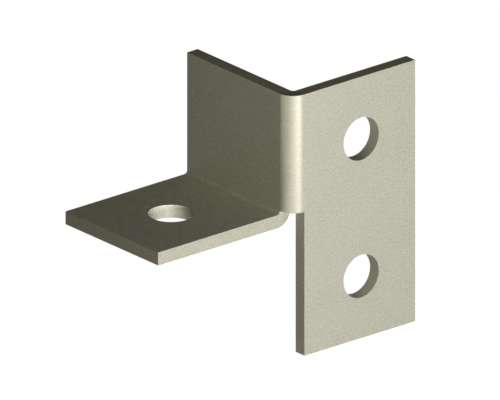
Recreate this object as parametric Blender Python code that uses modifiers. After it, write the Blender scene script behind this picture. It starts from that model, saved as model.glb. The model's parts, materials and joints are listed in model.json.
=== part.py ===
# Angle plate: a bracket folded from one piece of galvanised sheet steel.
# The post plate bolts to a post, the web stands square to it, and the shelf folds forward off the foot of the web.
# The two folds start from neighbouring sides of the web and meet at a square notch.
# Metres, +Z up. The origin is on the back face of the post plate, midway between its two bolt holes.

import math

import bmesh
import bpy
from mathutils import Matrix, Vector

# Sheet and folds
SHEET_THICKNESS = 0.004
INNER_BEND_RADIUS = 0.001
EDGE_BREAK = 0.0002

# Post plate, measured from the bend line to its free edge, and over its full height
POST_PLATE_WIDTH = 0.041
POST_PLATE_HEIGHT = 0.080
POST_HOLE_SPACING = 0.042
POST_HOLE_TO_FREE_EDGE = 0.020

# Web, measured from the bend line to its rear edge, and from its top edge to the underside of the shelf
WEB_WIDTH = 0.041
WEB_DROP = 0.041

# Shelf, measured from the front face of the web to its tip
SHELF_REACH = 0.045
SHELF_HOLE_TO_TIP = 0.022

# Clearance holes for M12 bolts
BOLT_HOLE_DIAMETER = 0.013

# Facets of the round forms
BEND_STEPS = 12
HOLE_SIDES = 96

# How far a hole cutter stands out of each face of the sheet
CUTTER_OVERRUN = 0.002

# Worked out from the driving sizes
outer_bend_radius = INNER_BEND_RADIUS + SHEET_THICKNESS
post_bend_x = POST_HOLE_TO_FREE_EDGE - POST_PLATE_WIDTH
web_front_x = post_bend_x - outer_bend_radius
web_back_x = web_front_x + SHEET_THICKNESS
web_bend_y = INNER_BEND_RADIUS
web_rear_y = web_bend_y + WEB_WIDTH
top_z = POST_PLATE_HEIGHT / 2
notch_z = top_z - WEB_DROP + outer_bend_radius
shelf_underside_z = top_z - WEB_DROP
shelf_tip_x = web_front_x - SHELF_REACH


def clear_scene():
    for item in list(bpy.data.objects):
        bpy.data.objects.remove(item)


def new_collection(name):
    collection = bpy.data.collections.new(name)
    bpy.context.scene.collection.children.link(collection)
    return collection


def face_towards(faces, direction):
    return max(faces, key=lambda face: face.normal.dot(direction))


def neighbour_towards(face, direction):
    neighbours = {other for edge in face.edges for other in edge.link_faces if other is not face}
    return face_towards(neighbours, direction)


def add_block(bm, low, high):
    # Returns the six faces of a box given by two opposite corners.
    low, high = Vector(low), Vector(high)
    placement = Matrix.Translation((low + high) / 2) @ Matrix.Diagonal((*(high - low), 1.0))
    corners = bmesh.ops.create_cube(bm, size=1.0, matrix=placement)["verts"]
    bm.normal_update()
    return {face for corner in corners for face in corner.link_faces}


def fold(bm, cut_edge, axis_point, axis):
    # Bends the sheet a quarter turn on from one of its cut edges and returns the new cut edge.
    bent = bmesh.ops.spin(
        bm,
        geom=[cut_edge, *cut_edge.edges, *cut_edge.verts],
        cent=axis_point,
        axis=axis,
        angle=math.radians(90),
        steps=BEND_STEPS,
    )
    bm.normal_update()
    return next(item for item in bent["geom_last"] if isinstance(item, bmesh.types.BMFace))


def run_flat(bm, cut_edge, length):
    # Carries the sheet on straight from one of its cut edges and returns the new cut edge.
    direction = cut_edge.normal.copy()
    new_edge = bmesh.ops.extrude_discrete_faces(bm, faces=[cut_edge])["faces"][0]
    bmesh.ops.translate(bm, verts=new_edge.verts, vec=direction * length)
    bm.normal_update()
    return new_edge


def folded_sheet_mesh():
    bm = bmesh.new()
    web = add_block(
        bm,
        (web_front_x, web_bend_y, notch_z),
        (web_back_x, web_rear_y, top_z),
    )
    web_side = face_towards(web, Vector((0, -1, 0)))
    web_foot = face_towards(web, Vector((0, 0, -1)))

    # The first fold turns the web's front side to the right and carries the post plate.
    post_fold_axis = Vector((post_bend_x, web_bend_y, 0))
    post_side = fold(bm, web_side, post_fold_axis, Vector((0, 0, 1)))
    post_side = run_flat(bm, post_side, POST_PLATE_WIDTH)

    # Below the notch only the flat of the post plate runs on down.
    post_foot = neighbour_towards(post_side, Vector((0, 0, -1)))
    run_flat(bm, post_foot, POST_PLATE_HEIGHT - (top_z - notch_z))

    # The second fold turns the web's foot forward and carries the shelf.
    shelf_fold_axis = Vector((web_front_x - INNER_BEND_RADIUS, 0, notch_z))
    shelf_tip = fold(bm, web_foot, shelf_fold_axis, Vector((0, 1, 0)))
    run_flat(bm, shelf_tip, SHELF_REACH - INNER_BEND_RADIUS)

    # Faces in one plane become one face, so that only real edges are left.
    bmesh.ops.dissolve_limit(bm, angle_limit=math.radians(0.1), verts=bm.verts, edges=bm.edges)
    mesh = bpy.data.meshes.new("folded_plate")
    bm.to_mesh(mesh)
    bm.free()
    mesh.shade_smooth()
    return mesh


def add_hole_cutter(name, collection, sheet_middle, turn):
    # A cylinder across the sheet, centred on the middle of its thickness.
    bm = bmesh.new()
    bmesh.ops.create_cone(
        bm,
        cap_ends=True,
        segments=HOLE_SIDES,
        radius1=BOLT_HOLE_DIAMETER / 2,
        radius2=BOLT_HOLE_DIAMETER / 2,
        depth=SHEET_THICKNESS + 2 * CUTTER_OVERRUN,
    )
    mesh = bpy.data.meshes.new(name)
    bm.to_mesh(mesh)
    bm.free()
    mesh.shade_smooth()
    cutter = bpy.data.objects.new(name, mesh)
    cutter.location = sheet_middle
    cutter.rotation_euler = turn
    cutter.hide_render = True
    cutter.display_type = "WIRE"
    collection.objects.link(cutter)
    return cutter


def hole_cutters(collection):
    # Two holes one above the other through the post plate, and one in the middle of the shelf's width.
    across_post_plate = (math.radians(90), 0, 0)
    post_middle_y = -SHEET_THICKNESS / 2
    cutters = []
    for name, side in (("upper_post_hole", 1), ("lower_post_hole", -1)):
        centre = (0, post_middle_y, side * POST_HOLE_SPACING / 2)
        cutters.append(add_hole_cutter(name, collection, centre, across_post_plate))
    shelf_hole_centre = (
        shelf_tip_x + SHELF_HOLE_TO_TIP,
        (web_bend_y + web_rear_y) / 2,
        shelf_underside_z + SHEET_THICKNESS / 2,
    )
    cutters.append(add_hole_cutter("shelf_hole", collection, shelf_hole_centre, (0, 0, 0)))
    return cutters


def galvanised_steel():
    # Dull zinc coat with a faint olive cast.
    material = bpy.data.materials.new("galvanised_steel")
    material.use_nodes = True
    shader = material.node_tree.nodes["Principled BSDF"]
    shader.inputs["Base Color"].default_value = (0.56, 0.54, 0.43, 1.0)
    shader.inputs["Metallic"].default_value = 0.6
    shader.inputs["Roughness"].default_value = 0.55
    return material


def punch_holes(plate, cutters):
    for cutter in cutters:
        cut = plate.modifiers.new(cutter.name, "BOOLEAN")
        cut.operation = "DIFFERENCE"
        cut.solver = "EXACT"
        cut.object = cutter


def break_edges(plate):
    # A small chamfer on every sheared and punched edge. The folds' facets meet at less than the limit.
    chamfer = plate.modifiers.new("edge_break", "BEVEL")
    chamfer.limit_method = "ANGLE"
    chamfer.angle_limit = math.radians(40)
    chamfer.width = EDGE_BREAK
    chamfer.segments = 1
    chamfer.harden_normals = True


def main():
    clear_scene()
    parts = new_collection("angle_plate")
    cutters = new_collection("angle_plate_cutters")
    plate = bpy.data.objects.new("folded_plate", folded_sheet_mesh())
    plate.data.materials.append(galvanised_steel())
    parts.objects.link(plate)
    punch_holes(plate, hole_cutters(cutters))
    break_edges(plate)


main()
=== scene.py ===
import json
import math

import bmesh
import bpy
from mathutils import Matrix, Vector


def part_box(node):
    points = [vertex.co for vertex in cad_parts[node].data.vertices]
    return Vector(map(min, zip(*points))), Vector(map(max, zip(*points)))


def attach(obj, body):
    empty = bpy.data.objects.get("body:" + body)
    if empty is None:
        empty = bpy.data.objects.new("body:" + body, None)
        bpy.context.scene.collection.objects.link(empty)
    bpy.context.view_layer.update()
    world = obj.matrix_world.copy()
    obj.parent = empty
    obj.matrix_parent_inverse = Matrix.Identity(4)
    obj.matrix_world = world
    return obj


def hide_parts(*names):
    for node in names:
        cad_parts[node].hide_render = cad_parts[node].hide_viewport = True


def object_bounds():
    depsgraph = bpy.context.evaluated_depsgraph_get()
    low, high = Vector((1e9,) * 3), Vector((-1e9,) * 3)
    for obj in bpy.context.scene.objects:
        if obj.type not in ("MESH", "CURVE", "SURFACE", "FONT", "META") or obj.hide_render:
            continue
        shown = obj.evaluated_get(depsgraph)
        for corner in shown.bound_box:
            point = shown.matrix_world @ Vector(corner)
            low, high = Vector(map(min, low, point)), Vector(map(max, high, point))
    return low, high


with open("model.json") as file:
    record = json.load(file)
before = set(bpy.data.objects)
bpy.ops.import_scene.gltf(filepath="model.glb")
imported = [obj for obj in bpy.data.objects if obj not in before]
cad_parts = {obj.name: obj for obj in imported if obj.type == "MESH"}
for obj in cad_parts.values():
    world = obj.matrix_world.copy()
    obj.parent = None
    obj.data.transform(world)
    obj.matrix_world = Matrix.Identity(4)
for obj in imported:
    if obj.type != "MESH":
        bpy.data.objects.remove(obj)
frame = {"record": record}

# The looks of a folded, galvanised steel angle plate, in metres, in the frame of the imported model.
# The plate is made again here the way a shop makes it: a flat blank is sheared, punched and deburred,
# and then a Geometry Nodes tree folds it twice.

mm = 0.001
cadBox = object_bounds()
print("frame: the packed plate measures", [round(side / mm, 2) for side in cadBox[1] - cadBox[0]], "mm")

forward = Vector((0, -1, 0))            # the way the post plate faces
down = Vector((0, 0, -1))


def linearColour(hexCode):
    # sRGB hex to the linear values that Blender's colour sockets take, with full alpha
    channels = [int(hexCode[i:i + 2], 16) / 255 for i in (1, 3, 5)]
    return [c / 12.92 if c <= 0.04045 else ((c + 0.055) / 1.055) ** 2.4 for c in channels] + [1.0]


def addNode(tree, kind, settings=None, inputs=None):
    # Adds a node. A socket among the inputs is linked, and anything else is a value.
    node = tree.nodes.new(kind)
    for name, value in (settings or {}).items():
        setattr(node, name, value)
    for name, value in (inputs or {}).items():
        if isinstance(value, bpy.types.NodeSocket):
            tree.links.new(value, node.inputs[name])
        else:
            node.inputs[name].default_value = value
    return node


def direction(turn, rise):
    # Unit vector from the plate, both angles in degrees. Turn 0 is straight in front of the post plate, and
    # positive goes to the right.
    turn, rise = math.radians(turn), math.radians(rise)
    return Vector((math.sin(turn) * math.cos(rise), -math.cos(turn) * math.cos(rise), math.sin(rise)))


# Camera: a parallel view from the left of the front, looking down
cameraSettings = {
    "turn": -39.94,                     # degrees
    "rise": 21.95,                      # degrees
    "pixelsPerMetre": 3525.0,
    "imageWidth": 500,
    "imageHeight": 400,
    "originPixel": (352.23, 203.40),    # where the frame's origin shows in the picture
    "distance": 0.6,
    "nearest": 0.01,                    # only what lies between these two is shown
    "furthest": 100.0,
}


def addCamera(settings):
    data = bpy.data.cameras.new("camera")
    data.type = "ORTHO"
    data.ortho_scale = settings["imageWidth"] / settings["pixelsPerMetre"]
    data.clip_start = settings["nearest"]
    data.clip_end = settings["furthest"]
    camera = bpy.data.objects.new("camera", data)
    bpy.context.scene.collection.objects.link(camera)
    back = direction(settings["turn"], settings["rise"])
    facing = (-back).to_track_quat("-Z", "Y")
    right = facing @ Vector((1, 0, 0))
    up = facing @ Vector((0, 1, 0))
    metresPerPixel = 1 / settings["pixelsPerMetre"]
    originRight = (settings["originPixel"][0] - settings["imageWidth"] / 2) * metresPerPixel
    originDown = (settings["originPixel"][1] - settings["imageHeight"] / 2) * metresPerPixel
    camera.location = back * settings["distance"] - right * originRight + up * originDown
    camera.rotation_mode = "QUATERNION"
    camera.rotation_quaternion = facing
    bpy.context.scene.camera = camera


addCamera(cameraSettings)
print("camera: set")


# Plate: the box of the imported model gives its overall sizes, and its openings say where the bolt holes are
plateSettings = {
    "innerRadius": 1.0 * mm,
    "postWidth": 41.0 * mm,             # of the post plate's flat
    "webDrop": 41.0 * mm,               # top edge to the underside of the shelf
    "holeDiameter": 13.0 * mm,
    "holeSides": 128,
    "foldAngle": math.radians(90),
    "foldSteps": 16,
    "neutralLayer": 0.40,               # share of the sheet inside the layer that keeps its length in a fold
    "edgeRound": 0.1 * mm,              # the zinc leaves the deburred edges barely rounded
    "edgeSteps": 3,
    "sharpEdge": math.radians(40),      # edges that turn more than this are deburred
    "punchOverrun": 2.0 * mm,           # how far a punch stands out of the sheet on both sides
    "faceWeight": 100,                  # the flats' large faces set the shading at the edges
}


def plateSizes(settings):
    # X runs across the post plate, Y back along the web, and Z up. The flats end where the folds start:
    # the post plate's at postFoldX, the web's at webFoldY and notchZ, and the shelf's at shelfFoldX.
    low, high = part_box("folded_plate")
    innerRadius = settings["innerRadius"]
    thickness = -low.y                  # the back face of the post plate is at Y 0
    sizes = {"low": low, "high": high, "thickness": thickness}
    sizes["postFoldX"] = high.x - settings["postWidth"]
    sizes["webFrontX"] = sizes["postFoldX"] - innerRadius - thickness
    sizes["webBackX"] = sizes["webFrontX"] + thickness
    sizes["webFoldY"] = innerRadius
    sizes["shelfFoldX"] = sizes["webFrontX"] - innerRadius
    sizes["notchZ"] = high.z - settings["webDrop"] + innerRadius + thickness
    sizes["developed"] = settings["foldAngle"] * (innerRadius + settings["neutralLayer"] * thickness)
    openings = frame["record"]["physics"]["openings"]
    sizes["holes"] = {
        box["name"]: (Vector(box["box_m"][0]) + Vector(box["box_m"][1])) / 2
        for box in openings if box["name"].endswith("_hole")
    }
    return sizes


def faceTowards(faces, way):
    return max(faces, key=lambda face: face.normal.dot(way))


def runFlat(blank, cutEdge, length, steps=1):
    # Carries the flat sheet on from one of its cut edges.
    for _ in range(steps):
        way = cutEdge.normal.copy()
        cutEdge = bmesh.ops.extrude_discrete_faces(blank, faces=[cutEdge])["faces"][0]
        bmesh.ops.translate(blank, verts=cutEdge.verts, vec=way * length / steps)
        blank.normal_update()
    return cutEdge


def makeBlank(sizes, settings):
    # The flat blank lies in the plane of the web. The sheet is one block, cut into strips where it will bend.
    blank = bmesh.new()
    low = Vector((sizes["webFrontX"], sizes["webFoldY"], sizes["notchZ"]))
    high = Vector((sizes["webBackX"], sizes["high"].y, sizes["high"].z))
    place = Matrix.Translation((low + high) / 2) @ Matrix.Diagonal((*(high - low), 1))
    corners = bmesh.ops.create_cube(blank, size=1, matrix=place)["verts"]
    blank.normal_update()
    web = {face for corner in corners for face in corner.link_faces}
    webSide = faceTowards(web, forward)
    webFoot = faceTowards(web, down)

    postSide = runFlat(blank, webSide, sizes["developed"], settings["foldSteps"])
    postSide = runFlat(blank, postSide, settings["postWidth"])
    around = {face for edge in postSide.edges for face in edge.link_faces if face is not postSide}
    runFlat(blank, faceTowards(around, down), sizes["notchZ"] - sizes["low"].z)

    shelfTip = runFlat(blank, webFoot, sizes["developed"], settings["foldSteps"])
    runFlat(blank, shelfTip, sizes["shelfFoldX"] - sizes["low"].x)

    mesh = bpy.data.meshes.new("blank")
    blank.to_mesh(mesh)
    blank.free()
    mesh.shade_smooth()
    plate = bpy.data.objects.new("galvanised_plate", mesh)
    bpy.context.scene.collection.objects.link(plate)
    return plate


def flatPlace(name, centre, sizes):
    # Where a hole of the folded plate lies in the flat blank
    middleX = (sizes["webFrontX"] + sizes["webBackX"]) / 2
    if name == "shelf_hole":
        alongShelf = sizes["shelfFoldX"] - centre.x
        return Vector((middleX, centre.y, sizes["notchZ"] - sizes["developed"] - alongShelf))
    alongPost = centre.x - sizes["postFoldX"]
    return Vector((middleX, sizes["webFoldY"] - sizes["developed"] - alongPost, centre.z))


def punchHoles(plate, sizes, settings):
    radius = settings["holeDiameter"] / 2
    throughSheet = Matrix.Rotation(math.radians(90), 4, "Y")
    punches = []
    for name, centre in sizes["holes"].items():
        shape = bmesh.new()
        bmesh.ops.create_cone(
            shape,
            cap_ends=True,
            segments=settings["holeSides"],
            radius1=radius,
            radius2=radius,
            depth=sizes["thickness"] + 2 * settings["punchOverrun"],
            matrix=Matrix.Translation(flatPlace(name, centre, sizes)) @ throughSheet,
        )
        mesh = bpy.data.meshes.new(name)
        shape.to_mesh(mesh)
        shape.free()
        mesh.shade_smooth()
        punch = bpy.data.objects.new(name, mesh)
        bpy.context.scene.collection.objects.link(punch)
        cut = plate.modifiers.new(name, "BOOLEAN")
        cut.operation = "DIFFERENCE"
        cut.solver = "EXACT"
        cut.object = punch
        punches.append(punch)
    return punches


def deburr(plate, settings):
    rounding = plate.modifiers.new("deburr", "BEVEL")
    rounding.limit_method = "ANGLE"
    rounding.angle_limit = settings["sharpEdge"]
    rounding.width = settings["edgeRound"]
    rounding.segments = settings["edgeSteps"]


def foldGroup():
    # Rolls the sheet round an axis: what lies past the fold line is drawn back to it and then turned.
    tree = bpy.data.node_groups.new("fold sheet", "GeometryNodeTree")
    sockets = {
        "Geometry": "NodeSocketGeometry",
        "Flange": "NodeSocketBool",
        "Axis Point": "NodeSocketVector",
        "Axis": "NodeSocketVector",
        "Flange Direction": "NodeSocketVector",
        "Developed Length": "NodeSocketFloat",
        "Fold Angle": "NodeSocketFloat",
        "Inner Radius": "NodeSocketFloat",
        "Outer Radius": "NodeSocketFloat",
        "Mark": "NodeSocketString",
    }
    for name, kind in sockets.items():
        tree.interface.new_socket(name, in_out="INPUT", socket_type=kind)
    tree.interface.new_socket("Geometry", in_out="OUTPUT", socket_type="NodeSocketGeometry")
    given = addNode(tree, "NodeGroupInput").outputs
    flange, developed = given["Flange Direction"], given["Developed Length"]
    place = addNode(tree, "GeometryNodeInputPosition").outputs[0]
    fromAxis = addNode(
        tree, "ShaderNodeVectorMath", {"operation": "SUBTRACT"}, {0: place, 1: given["Axis Point"]},
    ).outputs[0]
    pastLine = addNode(
        tree, "ShaderNodeVectorMath", {"operation": "DOT_PRODUCT"}, {0: fromAxis, 1: flange},
    ).outputs["Value"]
    rolled = addNode(
        tree, "ShaderNodeClamp", None, {"Value": pastLine, "Min": 0.0, "Max": developed},
    ).outputs[0]
    drawBack = addNode(
        tree, "ShaderNodeVectorMath", {"operation": "SCALE"}, {0: flange, "Scale": rolled},
    ).outputs[0]
    drawn = addNode(
        tree, "ShaderNodeVectorMath", {"operation": "SUBTRACT"}, {0: place, 1: drawBack},
    ).outputs[0]
    share = addNode(tree, "ShaderNodeMath", {"operation": "DIVIDE"}, {0: rolled, 1: developed}).outputs[0]
    angle = addNode(
        tree, "ShaderNodeMath", {"operation": "MULTIPLY"}, {0: share, 1: given["Fold Angle"]},
    ).outputs[0]
    turned = addNode(
        tree, "ShaderNodeVectorRotate", {"rotation_type": "AXIS_ANGLE"},
        {"Vector": drawn, "Center": given["Axis Point"], "Axis": given["Axis"], "Angle": angle},
    ).outputs[0]

    # The mark is 1 in the middle of the stretched outer side, and 0 on the inner side and past both ends.
    # A share times what is left of it peaks at a quarter, so the outer side takes it four times.
    fullMark = 4.0
    left = addNode(tree, "ShaderNodeMath", {"operation": "SUBTRACT"}, {0: 1.0, 1: share}).outputs[0]
    along = addNode(tree, "ShaderNodeMath", {"operation": "MULTIPLY"}, {0: share, 1: left}).outputs[0]
    outward = addNode(
        tree, "ShaderNodeVectorMath", {"operation": "CROSS_PRODUCT"}, {0: flange, 1: given["Axis"]},
    ).outputs[0]
    radius = addNode(
        tree, "ShaderNodeVectorMath", {"operation": "DOT_PRODUCT"}, {0: fromAxis, 1: outward},
    ).outputs["Value"]
    through = addNode(
        tree, "ShaderNodeMapRange", None,
        {
            "Value": radius,
            "From Min": given["Inner Radius"],
            "From Max": given["Outer Radius"],
            "To Max": fullMark,
        },
    ).outputs[0]
    stretch = addNode(tree, "ShaderNodeMath", {"operation": "MULTIPLY"}, {0: along, 1: through}).outputs[0]
    marked = addNode(
        tree, "GeometryNodeStoreNamedAttribute", {"data_type": "FLOAT", "domain": "POINT"},
        {
            "Geometry": given["Geometry"],
            "Selection": given["Flange"],
            "Name": given["Mark"],
            "Value": stretch,
        },
    ).outputs[0]
    folded = addNode(
        tree, "GeometryNodeSetPosition", None,
        {"Geometry": marked, "Selection": given["Flange"], "Position": turned},
    ).outputs[0]
    addNode(tree, "NodeGroupOutput", None, {"Geometry": folded})
    return tree


def foldPlate(plate, sizes, settings, material):
    # Both folds in one tree. The sheet is marked before it moves: where each point lay in the blank, and how
    # strongly the fold strained it.
    tree = bpy.data.node_groups.new("fold plate", "GeometryNodeTree")
    numbers = {
        "Post Fold X": sizes["postFoldX"],
        "Web Fold Y": sizes["webFoldY"],
        "Shelf Fold X": sizes["shelfFoldX"],
        "Notch Z": sizes["notchZ"],
        "Developed Length": sizes["developed"],
        "Fold Angle": settings["foldAngle"],
        "Inner Radius": settings["innerRadius"],
        "Outer Radius": settings["innerRadius"] + sizes["thickness"],
    }
    tree.interface.new_socket("Geometry", in_out="INPUT", socket_type="NodeSocketGeometry")
    for name in numbers:
        tree.interface.new_socket(name, in_out="INPUT", socket_type="NodeSocketFloat")
    finish = tree.interface.new_socket("Finish", in_out="INPUT", socket_type="NodeSocketMaterial")
    tree.interface.new_socket("Geometry", in_out="OUTPUT", socket_type="NodeSocketGeometry")
    given = addNode(tree, "NodeGroupInput").outputs
    place = addNode(tree, "GeometryNodeInputPosition").outputs[0]
    marked = addNode(
        tree, "GeometryNodeStoreNamedAttribute", {"data_type": "FLOAT_VECTOR", "domain": "POINT"},
        {"Geometry": given["Geometry"], "Name": "blankPlace", "Value": place},
    ).outputs[0]

    # The second fold takes only the web's side of the blank, so the post plate beside the shelf stays.
    # The two sides part half way along the first fold, where nothing lies below the notch.
    halfFold = addNode(
        tree, "ShaderNodeMath", {"operation": "DIVIDE"}, {0: given["Developed Length"], 1: 2.0},
    ).outputs[0]
    parting = addNode(
        tree, "ShaderNodeMath", {"operation": "SUBTRACT"}, {0: given["Web Fold Y"], 1: halfFold},
    ).outputs[0]
    placeY = addNode(tree, "ShaderNodeSeparateXYZ", None, {0: place}).outputs["Y"]
    webSide = addNode(
        tree, "FunctionNodeCompare", {"data_type": "FLOAT", "operation": "GREATER_THAN"},
        {0: placeY, 1: parting},
    ).outputs[0]
    sheet = addNode(tree, "GeometryNodeCaptureAttribute", None, {"Geometry": marked})
    sheet.capture_items.new("BOOLEAN", "Web Side")
    tree.links.new(webSide, sheet.inputs["Web Side"])

    fold = foldGroup()
    bend = {name: given[name] for name in ("Developed Length", "Fold Angle", "Inner Radius", "Outer Radius")}
    postAxis = addNode(
        tree, "ShaderNodeCombineXYZ", None, {"X": given["Post Fold X"], "Y": given["Web Fold Y"]},
    ).outputs[0]
    postFolded = addNode(
        tree, "GeometryNodeGroup", {"node_tree": fold},
        {
            "Geometry": sheet.outputs["Geometry"],
            "Flange": True,
            "Axis Point": postAxis,
            "Axis": (0, 0, 1),
            "Flange Direction": forward,
            "Mark": "postFold",
            **bend,
        },
    ).outputs[0]
    shelfAxis = addNode(
        tree, "ShaderNodeCombineXYZ", None, {"X": given["Shelf Fold X"], "Z": given["Notch Z"]},
    ).outputs[0]
    shelfFolded = addNode(
        tree, "GeometryNodeGroup", {"node_tree": fold},
        {
            "Geometry": postFolded,
            "Flange": sheet.outputs["Web Side"],
            "Axis Point": shelfAxis,
            "Axis": (0, 1, 0),
            "Flange Direction": down,
            "Mark": "shelfFold",
            **bend,
        },
    ).outputs[0]
    real = addNode(tree, "GeometryNodeRealizeInstances", None, {"Geometry": shelfFolded}).outputs[0]
    coated = addNode(
        tree, "GeometryNodeSetMaterial", None, {"Geometry": real, "Material": given["Finish"]},
    ).outputs[0]
    addNode(tree, "NodeGroupOutput", None, {"Geometry": coated})

    folding = plate.modifiers.new("fold", "NODES")
    folding.node_group = tree
    for item in tree.interface.items_tree:
        if item.in_out == "INPUT" and item.name in numbers:
            folding[item.identifier] = numbers[item.name]
    folding[finish.identifier] = material


def makePlain(plate):
    # The finished piece is a plain mesh: what the modifiers made, without them.
    graph = bpy.context.evaluated_depsgraph_get()
    mesh = bpy.data.meshes.new_from_object(
        plate.evaluated_get(graph), preserve_all_data_layers=True, depsgraph=graph,
    )
    plate.modifiers.clear()
    plate.data = mesh


# Galvanised steel, dipped after folding and weathered: a matt grey zinc skin with a faint olive cast, which
# scatters far more than it mirrors. Close to, it has a fine crystal grain, with painted shade on one side of
# each crystal. The outer side of each fold shines more, because the die had polished the steel under it, and
# the die's lines still show there faintly.
steelSettings = {
    "dark": "#B5B39F",
    "light": "#D3D1BE",
    "tones": (0.077, 0.697),            # levels of the pattern that get these two colours
    "metallic": 0.02,
    "roughness": 0.55,
    "specular": 0.2,
    "grain": 0.72,                      # mm, spacing of the zinc's crystals
    "grainDetail": 1.0,                 # rounds of finer grain on the crystals
    "grainStrength": 0.4,               # of each finer round, where the one before is 1
    "grainHeight": 0.012,               # mm
    "roughnessSpread": 0.06,            # between the crystals' lowest places and their highest
    "lay": (0.92, 0.92, 1.07),          # the crystals are a little flatter than they are wide
    "paintedShadeOffset": (0.09, 0.0, -0.25),        # mm, from each crystal's painted dark side to its painted pale side, as if it were lit from one side
    "paintedShadeShare": 0.39,                 # how much of the level a little way on is taken off a crystal's own, which paints shade on one side of it
    "cloud": 11.0,                      # mm, width of the paler and darker patches
    "cloudShare": 0.16,                 # of the pattern, where the crystals are 1
    "foldMetallic": 0.54,
    "foldRoughness": 0.50,
    "foldReach": 0.6,                   # from this mark on, a fold shines fully
    "smoothing": 0.4,                   # how far the grain and its painted shade fade in the middle of a fold
    "dragLine": 0.42,                   # mm, spacing of the die's lines, coarser than on a real plate
    "dragDetail": 1.0,                  # rounds of finer lines
    "dragAlong": 0.06,                  # how fast a line changes along its length, where across it is 1
    "dragThrough": 0.4,                 # the same through the sheet
    "dragShare": 0.10,                  # of the pattern, where the crystals are 1
    "dragHeight": 0.12,                 # of the relief, where the crystals are 1
}
noiseMiddle = 0.5                       # a noise texture's values lie on both sides of this


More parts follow.
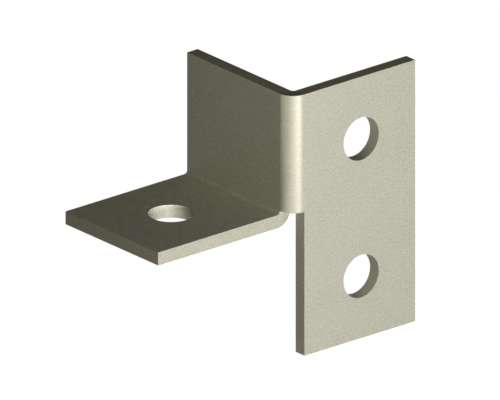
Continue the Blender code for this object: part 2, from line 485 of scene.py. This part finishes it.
def galvanisedSteel(settings):
    material = bpy.data.materials.new("galvanised steel, hot dipped")
    material.use_nodes = True
    tree = material.node_tree
    shader = tree.nodes["Principled BSDF"]

    # The zinc froze on the folded plate, so its crystals run on round the folds without being stretched.
    piece = addNode(tree, "ShaderNodeTexCoord").outputs["Object"]
    place = addNode(
        tree, "ShaderNodeVectorMath", {"operation": "SCALE"}, {0: piece, "Scale": 1 / mm},
    ).outputs[0]
    laid = addNode(
        tree, "ShaderNodeVectorMath", {"operation": "MULTIPLY"}, {0: place, 1: settings["lay"]},
    ).outputs[0]
    grainLook = {
        "Scale": 1 / settings["grain"],
        "Detail": settings["grainDetail"],
        "Roughness": settings["grainStrength"],
    }
    grain = addNode(tree, "ShaderNodeTexNoise", None, {"Vector": laid, **grainLook}).outputs["Fac"]

    # Painted shade: each crystal is drawn paler on one side and darker on the other, as if lit from one side.
    # A share of the level a little way on is taken off its own.
    paintedShadePlace = addNode(
        tree, "ShaderNodeVectorMath", {"operation": "ADD"}, {0: laid, 1: settings["paintedShadeOffset"]},
    ).outputs[0]
    paintedShadeSample = addNode(tree, "ShaderNodeTexNoise", None, {"Vector": paintedShadePlace, **grainLook}).outputs["Fac"]
    grainAndPaintedShade = addNode(
        tree, "ShaderNodeMath", {"operation": "MULTIPLY_ADD"},
        {0: paintedShadeSample, 1: -settings["paintedShadeShare"], 2: grain},
    ).outputs[0]

    # The die's lines run round each fold, so they are drawn in the flat blank. Real ones are too fine to show
    # at this size, and these are drawn as coarse as they need to be.
    flat = addNode(tree, "ShaderNodeAttribute", {"attribute_name": "blankPlace"}).outputs["Vector"]
    blank = addNode(
        tree, "ShaderNodeVectorMath", {"operation": "SCALE"}, {0: flat, "Scale": 1 / mm},
    ).outputs[0]
    along, through = settings["dragAlong"], settings["dragThrough"]
    stretches = {"postFold": (through, along, 1.0), "shelfFold": (through, 1.0, along)}
    marks, lines = [], []
    for name, stretch in stretches.items():
        mark = addNode(tree, "ShaderNodeAttribute", {"attribute_name": name}).outputs["Fac"]
        drawn = addNode(
            tree, "ShaderNodeVectorMath", {"operation": "MULTIPLY"}, {0: blank, 1: stretch},
        ).outputs[0]
        drag = addNode(
            tree, "ShaderNodeTexNoise", None,
            {"Vector": drawn, "Scale": 1 / settings["dragLine"], "Detail": settings["dragDetail"]},
        ).outputs["Fac"]
        level = addNode(
            tree, "ShaderNodeMath", {"operation": "SUBTRACT"}, {0: drag, 1: noiseMiddle},
        ).outputs[0]
        line = addNode(tree, "ShaderNodeMath", {"operation": "MULTIPLY"}, {0: level, 1: mark}).outputs[0]
        marks.append(mark)
        lines.append(line)
    folded = addNode(tree, "ShaderNodeMath", {"operation": "ADD"}, {0: marks[0], 1: marks[1]}).outputs[0]
    dragged = addNode(tree, "ShaderNodeMath", {"operation": "ADD"}, {0: lines[0], 1: lines[1]}).outputs[0]

    # The pattern: grain with painted shade that fades in the folds, patches, and the die's lines
    fade = addNode(
        tree, "ShaderNodeMath", {"operation": "MULTIPLY"}, {0: folded, 1: settings["smoothing"]},
    ).outputs[0]
    grainAndPaintedShadeMiddle = noiseMiddle * (1 - settings["paintedShadeShare"])
    fadedGrainAndShade = addNode(
        tree, "ShaderNodeMix", {"data_type": "FLOAT"}, {"Factor": fade, "A": grainAndPaintedShade, "B": grainAndPaintedShadeMiddle},
    ).outputs["Result"]
    cloud = addNode(
        tree, "ShaderNodeTexNoise", None, {"Vector": place, "Scale": 1 / settings["cloud"]},
    ).outputs["Fac"]
    clouded = addNode(
        tree, "ShaderNodeMath", {"operation": "MULTIPLY_ADD"},
        {0: cloud, 1: settings["cloudShare"], 2: fadedGrainAndShade},
    ).outputs[0]
    pattern = addNode(
        tree, "ShaderNodeMath", {"operation": "MULTIPLY_ADD"},
        {0: dragged, 1: settings["dragShare"], 2: clouded},
    ).outputs[0]
    darkest, lightest = settings["tones"]
    tone = addNode(
        tree, "ShaderNodeMapRange", None, {"Value": pattern, "From Min": darkest, "From Max": lightest},
    ).outputs[0]
    # A Mix node takes its two colours at sockets 6 and 7 and gives one at socket 2.
    colour = addNode(
        tree, "ShaderNodeMix", {"data_type": "RGBA"},
        {"Factor": tone, 6: linearColour(settings["dark"]), 7: linearColour(settings["light"])},
    ).outputs[2]
    tree.links.new(colour, shader.inputs["Base Color"])

    # The sheen rises over the folds. The grain makes it a little uneven all over.
    metallic = addNode(
        tree, "ShaderNodeMapRange", None,
        {
            "Value": folded,
            "From Max": settings["foldReach"],
            "To Min": settings["metallic"],
            "To Max": settings["foldMetallic"],
        },
    ).outputs[0]
    tree.links.new(metallic, shader.inputs["Metallic"])
    smoothed = addNode(
        tree, "ShaderNodeMapRange", None,
        {
            "Value": folded,
            "From Max": settings["foldReach"],
            "To Min": settings["roughness"],
            "To Max": settings["foldRoughness"],
        },
    ).outputs[0]
    spread = settings["roughnessSpread"]
    uneven = addNode(
        tree, "ShaderNodeMath", {"operation": "MULTIPLY_ADD"}, {0: grain, 1: spread, 2: smoothed},
    ).outputs[0]
    rough = addNode(
        tree, "ShaderNodeMath", {"operation": "SUBTRACT"}, {0: uneven, 1: spread * noiseMiddle},
    ).outputs[0]
    tree.links.new(rough, shader.inputs["Roughness"])
    shader.inputs["Specular IOR Level"].default_value = settings["specular"]

    raised = addNode(
        tree, "ShaderNodeMath", {"operation": "MULTIPLY_ADD"},
        {0: dragged, 1: settings["dragHeight"], 2: grain},
    ).outputs[0]
    relief = addNode(
        tree, "ShaderNodeBump", None,
        {"Height": raised, "Strength": 1.0, "Distance": settings["grainHeight"] * mm},
    ).outputs[0]
    tree.links.new(relief, shader.inputs["Normal"])
    return material


def makePlate(settings):
    sizes = plateSizes(settings)
    plate = makeBlank(sizes, settings)
    punches = punchHoles(plate, sizes, settings)
    deburr(plate, settings)
    foldPlate(plate, sizes, settings, galvanisedSteel(steelSettings))
    weigh = plate.modifiers.new("flat faces stay flat", "WEIGHTED_NORMAL")
    weigh.weight = settings["faceWeight"]
    weigh.mode = "FACE_AREA"
    makePlain(plate)
    for punch in punches:
        bpy.data.objects.remove(punch)
    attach(plate, "root")
    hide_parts("folded_plate")
    print("plate:", len(plate.data.polygons), "faces")


makePlate(plateSettings)


def shownRays(tree):
    # 1 for a ray from the camera, straight or by way of metal or glass, and 0 for one that lights the plate
    paths = addNode(tree, "ShaderNodeLightPath").outputs
    shown = paths["Is Camera Ray"]
    for kind in ("Is Glossy Ray", "Is Transmission Ray"):
        either = addNode(tree, "ShaderNodeMath", {"operation": "MAXIMUM"}, {0: shown, 1: paths[kind]})
        shown = either.outputs[0]
    return shown


# Floor: studio paper at the height of the plate's foot. It is grey, so that it throws little light up at the
# plate. It glows only where it is seen or mirrored, so it shows white and still takes the plate's shadow.
floorSettings = {
    "side": 12.0,
    "colour": "#898989",
    "glow": 0.965,                      # 1 is white, and the lamps add the rest
}
pureWhite = (1, 1, 1, 1)


def addFloor(settings):
    shape = bmesh.new()
    bmesh.ops.create_grid(shape, x_segments=1, y_segments=1, size=settings["side"] / 2)
    bmesh.ops.translate(shape, verts=shape.verts, vec=(0, 0, cadBox[0].z))
    mesh = bpy.data.meshes.new("floor")
    shape.to_mesh(mesh)
    shape.free()
    floor = bpy.data.objects.new("floor", mesh)
    bpy.context.scene.collection.objects.link(floor)
    material = bpy.data.materials.new("studio paper")
    material.use_nodes = True
    tree = material.node_tree
    tree.nodes.clear()
    glow = addNode(
        tree, "ShaderNodeMath", {"operation": "MULTIPLY"}, {0: shownRays(tree), 1: settings["glow"]},
    ).outputs[0]
    grey = linearColour(settings["colour"])
    paper = addNode(tree, "ShaderNodeBsdfDiffuse", None, {"Color": grey}).outputs[0]
    white = addNode(tree, "ShaderNodeEmission", None, {"Color": pureWhite, "Strength": glow}).outputs[0]
    both = addNode(tree, "ShaderNodeAddShader", None, {0: paper, 1: white}).outputs[0]
    addNode(tree, "ShaderNodeOutputMaterial", None, {"Surface": both})
    mesh.materials.append(material)


addFloor(floorSettings)


# Light: a soft key in front, about level with the top of the plate, a long low strip on the left that the
# fold throws back, and a weak lamp overhead. Two narrow lamps light the sides that the camera doesn't see.
# The rear one is level with the shelf, and the right one is in line with the post plate, which keeps nearly
# all their light off the hole walls that the camera sees. Places and sizes are in mm, and powers in watts.
lampSettings = [
    {"name": "key", "place": (-50, -420, 35), "size": (80, 80), "power": 1.37, "colour": "#F7F9FF"},
    {"name": "strip", "place": (-172, -212, 7), "size": (160, 8), "power": 0.142, "colour": "#FFFAE6"},
    {"name": "overhead", "place": (-150, -150, 780), "size": (400, 400), "power": 0.56, "colour": "#FFF8E4"},
    {"name": "rear", "place": (10, 600, 1), "size": (40, 8), "power": 1.8, "colour": "#FFFFFF"},
    {"name": "right", "place": (600, -2, -18), "size": (8, 60), "power": 1.3, "colour": "#FFFFFF"},
]
lampTarget = Vector((-20, 10, 0)) * mm  # they all face about the middle of the plate


def addLamp(settings):
    data = bpy.data.lights.new(settings["name"], "AREA")
    data.shape = "ELLIPSE"
    data.size, data.size_y = [side * mm for side in settings["size"]]
    data.energy = settings["power"]
    data.color = linearColour(settings["colour"])[:3]
    lamp = bpy.data.objects.new(settings["name"], data)
    bpy.context.scene.collection.objects.link(lamp)
    lamp.location = Vector(settings["place"]) * mm
    lamp.rotation_mode = "QUATERNION"
    lamp.rotation_quaternion = (lamp.location - lampTarget).to_track_quat("Z", "Y")
    lamp.visible_camera = False


for lampSetting in lampSettings:
    addLamp(lampSetting)


# A small spot below the shelf shines up through its bolt hole, so that the hole's wall isn't lost in shade.
spotSettings = {
    "place": (-66, -24, -34),
    "aim": (-46.5, 27, 1),              # on the far side of the hole's wall
    "beam": 14,                         # its width in mm where it is aimed
    "edge": 1.0,                        # it fades from the middle outwards
    "radius": 3,                        # of the lamp, in mm
    "power": 0.185,
}


def addSpot(settings):
    place = Vector(settings["place"]) * mm
    back = place - Vector(settings["aim"]) * mm
    data = bpy.data.lights.new("hole spot", "SPOT")
    data.spot_size = 2 * math.atan(settings["beam"] * mm / 2 / back.length)
    data.spot_blend = settings["edge"]
    data.shadow_soft_size = settings["radius"] * mm
    data.energy = settings["power"]
    lamp = bpy.data.objects.new("hole spot", data)
    bpy.context.scene.collection.objects.link(lamp)
    lamp.location = place
    lamp.rotation_mode = "QUATERNION"
    lamp.rotation_quaternion = back.to_track_quat("Z", "Y")
    lamp.visible_camera = False


addSpot(spotSettings)


# The room: nearly dark above the horizon, as a studio is. Below it, past the floor, it is white where it is
# seen or mirrored.
ambientSettings = {"colour": "#FFF9EF", "strength": 0.004}


def addAmbient(settings):
    world = bpy.data.worlds.new("studio")
    bpy.context.scene.world = world
    world.use_nodes = True
    tree = world.node_tree
    background = tree.nodes["Background"]
    background.inputs["Color"].default_value = linearColour(settings["colour"])
    background.inputs["Strength"].default_value = settings["strength"]
    looking = addNode(tree, "ShaderNodeTexCoord").outputs["Generated"]
    height = addNode(tree, "ShaderNodeSeparateXYZ", None, {0: looking}).outputs["Z"]
    below = addNode(tree, "ShaderNodeMath", {"operation": "LESS_THAN"}, {0: height, 1: 0.0}).outputs[0]
    share = addNode(
        tree, "ShaderNodeMath", {"operation": "MULTIPLY"}, {0: below, 1: shownRays(tree)},
    ).outputs[0]
    white = addNode(tree, "ShaderNodeBackground", None, {"Color": pureWhite, "Strength": 1.0}).outputs[0]
    both = addNode(
        tree, "ShaderNodeMixShader", None, {0: share, 1: background.outputs[0], 2: white},
    ).outputs[0]
    tree.links.new(both, tree.nodes["World Output"].inputs["Surface"])


addAmbient(ambientSettings)
bpy.context.scene.view_settings.view_transform = "Standard"
print("studio: lit")
